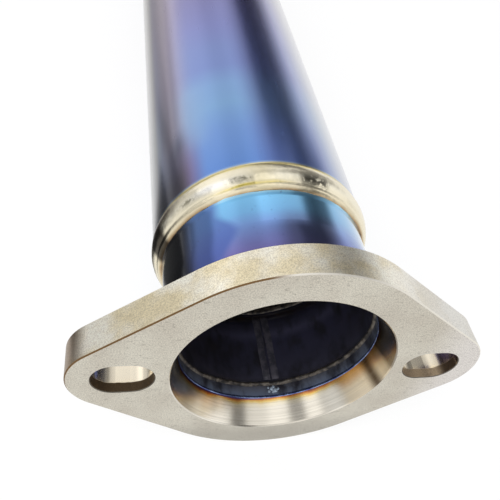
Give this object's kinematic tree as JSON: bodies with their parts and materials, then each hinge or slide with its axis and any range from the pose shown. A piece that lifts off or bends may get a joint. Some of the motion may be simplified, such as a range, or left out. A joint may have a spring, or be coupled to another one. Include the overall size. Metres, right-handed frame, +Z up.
{
  "type": "exhaust muffler",
  "caption": "Straight-through exhaust muffler: slim heat-tinted tube with gold weld rings, perforated core in packing, and a flat two-bolt flange on each neck.",
  "frame": {"origin": "centre of the inlet flange's bore, on its gasket face", "axes": "+Y along the tube axis from inlet to outlet, +X along the flange's bolt line, +Z up"},
  "size_m": [0.1432, 0.52, 0.102],
  "materials": {
    "flange_steel": "satin machined stainless, faintly gold on the rim",
    "blued_neck": "polished stainless, heat-tinted cyan and blue",
    "blued_shell": "polished stainless, heat-tinted blue and violet",
    "gold_weld": "bright weld cap, straw gold",
    "grey_weld": "as-welded, grey with blue tint",
    "inner_steel": "plain mill finish",
    "steel_wool": "matted fine steel fibres",
    "glass_fibre": "matted glass fibre"
  },
  "bodies": {
    "root": {"inlet_flange": "flange_steel", "outlet_flange": "flange_steel", "inlet_neck": "blued_neck", "outlet_neck": "blued_neck", "inlet_neck_seam": "grey_weld", "outlet_neck_seam": "grey_weld", "inlet_flange_weld": "grey_weld", "outlet_flange_weld": "grey_weld", "inlet_bore_weld": "grey_weld", "outlet_bore_weld": "grey_weld", "inlet_root_bead": "grey_weld", "outlet_root_bead": "grey_weld", "inlet_shell_weld": "gold_weld", "outlet_shell_weld": "gold_weld", "inlet_shell_root": "grey_weld", "outlet_shell_root": "grey_weld", "inlet_cone_weld": "grey_weld", "outlet_cone_weld": "grey_weld", "shell": "blued_shell", "shell_seam": "grey_weld", "inlet_cone": "inner_steel", "outlet_cone": "inner_steel", "core_weld": "grey_weld", "core_tube": "inner_steel", "wool_wrap": "steel_wool", "wrap_ties": "inner_steel", "packing_front": "glass_fibre", "packing_rear": "glass_fibre", "support_ring": "inner_steel"}
  },
  "joints": []
}
